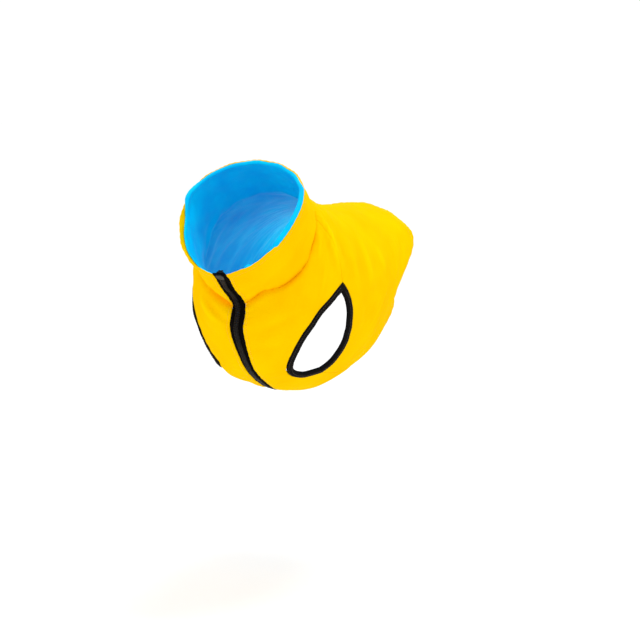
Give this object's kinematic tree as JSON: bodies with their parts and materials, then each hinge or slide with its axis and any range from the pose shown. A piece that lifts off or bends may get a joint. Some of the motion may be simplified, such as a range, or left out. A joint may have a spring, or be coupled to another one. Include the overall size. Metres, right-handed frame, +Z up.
{
  "type": "dog jacket",
  "caption": "Sleeveless zip-front jacket for a small dog, shown as worn and hollow, with a stand-up lined collar and black bound armholes.",
  "frame": {"origin": "on the centre line at the withers, against the inside of the back panel, where the wearer's back holds the jacket up", "axes": "+Z up, -Y towards the collar and +Y towards the hem, +X to the wearer's left"},
  "size_m": [0.1877, 0.3549, 0.2496],
  "materials": {
    "yellow_nylon": "smooth, lightly padded nylon, satin matte",
    "blue_lining": "smooth nylon lining, satin",
    "black_tape": "woven polyester zip tape, matte",
    "black_elastic": "ribbed elastic binding, matte",
    "black_coil": "moulded nylon coil",
    "black_enamel": "black enamelled zinc casting"
  },
  "bodies": {
    "jacket": {"back_panel": "yellow_nylon", "front_panel_left": "yellow_nylon", "front_panel_right": "yellow_nylon", "collar_shell": "yellow_nylon", "collar_lining": "blue_lining", "zip_tape_left": "black_tape", "zip_tape_right": "black_tape", "zip_chain": "black_coil", "zip_slider": "black_enamel", "armhole_binding_left": "black_elastic", "armhole_binding_right": "black_elastic"},
    "pull_tab": {"zip_pull_tab": "black_enamel"}
  },
  "joints": [
    {"name": "pull_tab_swing", "type": "hinge", "parent": "jacket", "child": "pull_tab", "pos_m": [0, -0.18851, -0.05595], "axis": [1, 0, 0], "range_deg": [0, 165]}
  ]
}
